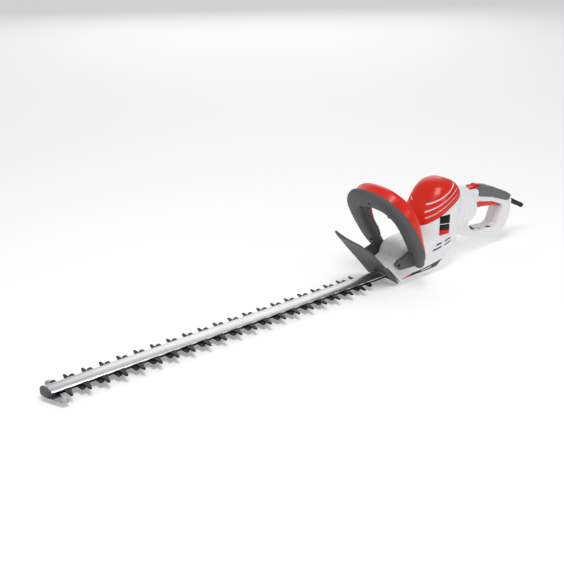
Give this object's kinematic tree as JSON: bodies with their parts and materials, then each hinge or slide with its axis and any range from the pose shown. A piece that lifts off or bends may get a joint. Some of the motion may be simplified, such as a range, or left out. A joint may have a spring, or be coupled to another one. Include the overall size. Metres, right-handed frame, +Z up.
{
  "type": "hedge trimmer",
  "caption": "Corded hedge trimmer with a long double-sided reciprocating blade, looped front handle, upright motor cap and a swivelling D-shaped rear handle.",
  "frame": {"origin": "middle of the flat sole that the tool stands on, at the height of the ground", "axes": "+X forward along the blade, +Y to the tool's left, +Z up"},
  "size_m": [1.1373, 0.1684, 0.1943],
  "materials": {
    "white_plastic": "satin moulded plastic",
    "red_plastic": "glossy moulded plastic",
    "grey_plastic": "fine-textured moulded plastic",
    "soft_grip": "soft matt overmould",
    "black_plastic": "satin black",
    "blade_steel": "black-coated hardened steel with ground edges",
    "bar_steel": "lengthwise brushed",
    "fastener_steel": "zinc plated",
    "dark_fastener": "black-finished screw",
    "alloy": "die cast",
    "gear_steel": "ground",
    "copper": "wound copper",
    "core_steel": "stacked laminations",
    "nylon": "natural nylon"
  },
  "bodies": {
    "body": {"housing_left": "white_plastic", "housing_right": "white_plastic", "motor_cap": "red_plastic", "sole_plate": "grey_plastic", "gearbox_base": "alloy", "gearbox_cover": "alloy", "motor_stator": "core_steel", "lower_bearing": "gear_steel", "upper_bearing": "gear_steel", "bearing_bridge": "alloy", "brush_holder_left": "black_plastic", "brush_holder_right": "black_plastic", "axle_bush": "copper", "blade_bar": "bar_steel", "bar_nose": "grey_plastic", "tip_guard": "fastener_steel", "tip_bolt": "fastener_steel", "bar_bolt_1": "fastener_steel", "bar_bolt_2": "fastener_steel", "bar_bolt_3": "fastener_steel", "bar_bolt_4": "fastener_steel", "bar_bolt_5": "fastener_steel", "hand_guard": "grey_plastic", "front_handle": "grey_plastic", "grip_screw_1": "dark_fastener", "grip_screw_2": "dark_fastener", "grip_screw_3": "dark_fastener", "grip_screw_4": "dark_fastener", "grip_screw_5": "dark_fastener", "foot_screw_left": "dark_fastener", "foot_screw_right": "dark_fastener", "front_switch": "black_plastic", "badge_plate": "black_plastic"},
    "rotor": {"motor_shaft": "gear_steel", "pinion": "gear_steel", "armature": "copper", "commutator": "copper", "cooling_fan": "black_plastic"},
    "gear_train": {"drive_gear": "gear_steel", "gear_axle": "gear_steel", "cam_upper": "gear_steel", "cam_lower": "gear_steel"},
    "upper_blade": {"blade_upper": "blade_steel"},
    "lower_blade": {"blade_lower": "blade_steel"},
    "bail": {"switch_bail": "red_plastic"},
    "rear_handle": {"handle_left": "white_plastic", "handle_right": "white_plastic", "grip_pad": "soft_grip", "swivel_ring": "nylon", "switch_module": "black_plastic", "capacitor": "core_steel", "cord_sleeve": "black_plastic", "cord_clamp": "black_plastic", "trigger_spring": "fastener_steel"},
    "trigger_body": {"trigger": "red_plastic"},
    "lock_button_body": {"lock_button": "red_plastic"},
    "latch_body": {"rotation_latch": "white_plastic"}
  },
  "joints": [
    {"name": "rotor_spin", "type": "hinge", "parent": "body", "child": "rotor", "pos_m": [-0.084, 0, 0.08], "axis": [0, 0, 1], "continuous": true},
    {"name": "gear_spin", "type": "hinge", "parent": "body", "child": "gear_train", "pos_m": [-0.04125, 0, 0.03], "axis": [0, 0, 1], "continuous": true},
    {"name": "upper_blade_slide", "type": "slide", "parent": "body", "child": "upper_blade", "axis": [1, 0, 0], "range_m": [-0.0036, 0.0114]},
    {"name": "lower_blade_slide", "type": "slide", "parent": "body", "child": "lower_blade", "axis": [1, 0, 0], "range_m": [-0.0114, 0.0036]},
    {"name": "bail_hinge", "type": "hinge", "parent": "body", "child": "bail", "pos_m": [0.0076, 0, 0.0688], "axis": [0, 1, 0], "range_deg": [0, 2.3], "stiffness_Nm_per_rad": 6, "springref_deg": -2.86},
    {"name": "handle_turn", "type": "hinge", "parent": "body", "child": "rear_handle", "pos_m": [-0.146, 0, 0.105], "axis": [1, 0, 0], "range_deg": [-90, 90]},
    {"name": "trigger_hinge", "type": "hinge", "parent": "rear_handle", "child": "trigger_body", "pos_m": [-0.286, 0, 0.091], "axis": [0, -1, 0], "range_deg": [0, 3], "stiffness_Nm_per_rad": 1.5, "springref_deg": -5.73, "deforming": ["trigger_spring"]},
    {"name": "lock_button_press", "type": "slide", "parent": "rear_handle", "child": "lock_button_body", "axis": [0, 0, -1], "range_m": [0, 0.0035], "stiffness_N_per_m": 400, "springref_m": -0.004},
    {"name": "latch_slide", "type": "slide", "parent": "rear_handle", "child": "latch_body", "axis": [-1, 0, 0], "range_m": [0, 0.006], "stiffness_N_per_m": 300, "springref_m": -0.004}
  ],
  "couplings": [
    {"joint": "gear_spin", "follows": "rotor_spin", "ratio": -0.1875},
    {"joint": "lower_blade_slide", "follows": "upper_blade_slide", "ratio": -1}
  ]
}
